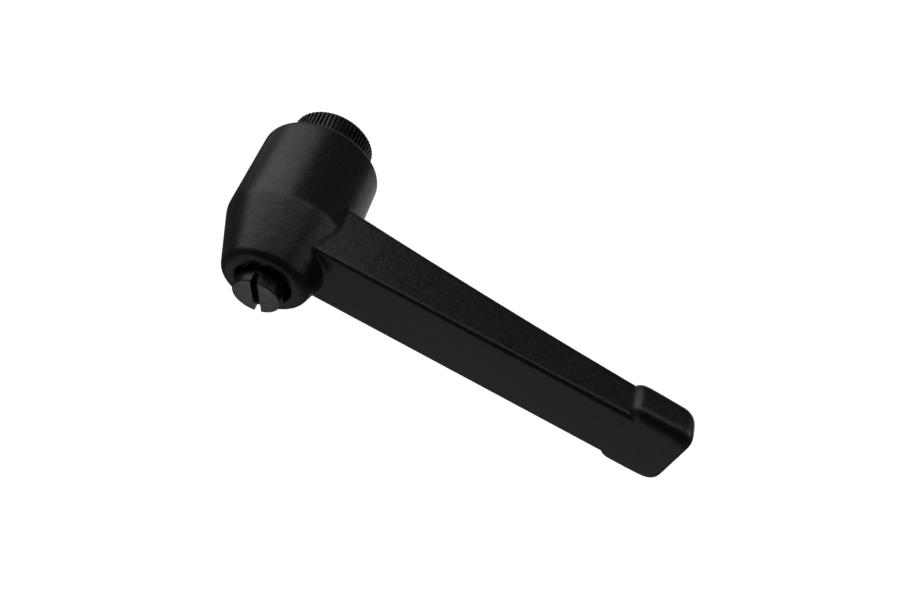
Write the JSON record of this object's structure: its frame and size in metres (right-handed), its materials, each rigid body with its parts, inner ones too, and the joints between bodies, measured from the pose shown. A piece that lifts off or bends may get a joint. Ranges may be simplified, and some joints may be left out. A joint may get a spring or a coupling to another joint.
{
  "type": "adjustable clamping lever",
  "caption": "Adjustable clamping lever: black cast handle with a coned hub and sloping flat arm, on a serrated threaded steel insert held by a slotted screw and spring.",
  "frame": {"origin": "centre of the serrated insert's seat face, on the clamping axis", "axes": "+Z along the clamping axis from the seat towards the retaining screw, +X along the arm towards its tip"},
  "size_m": [0.0835, 0.022, 0.0421],
  "materials": {
    "black_coated_zinc": "satin black powder coat over die-cast zinc, fine cast texture, slightly worn along the edges",
    "blackened_steel": "black oxide steel, machined, straight serrations",
    "screw_steel": "worn black oxide steel, turned head with a milled slot",
    "spring_wire": "drawn spring wire, lightly oiled"
  },
  "bodies": {
    "insert_and_screw": {"serrated_insert": "blackened_steel", "retaining_screw": "screw_steel"},
    "spring": {"spring": "spring_wire"},
    "lever": {"lever": "black_coated_zinc"}
  },
  "joints": [
    {"name": "index_turn", "type": "hinge", "parent": "insert_and_screw", "child": "spring", "pos_m": [0, 0, 0], "axis": [0, 0, 1], "continuous": true},
    {"name": "lever_lift", "type": "slide", "parent": "spring", "child": "lever", "axis": [0, 0, 1], "range_m": [0, 0.006], "stiffness_N_per_m": 1000, "springref_m": -0.004, "deforming": ["spring"]}
  ]
}
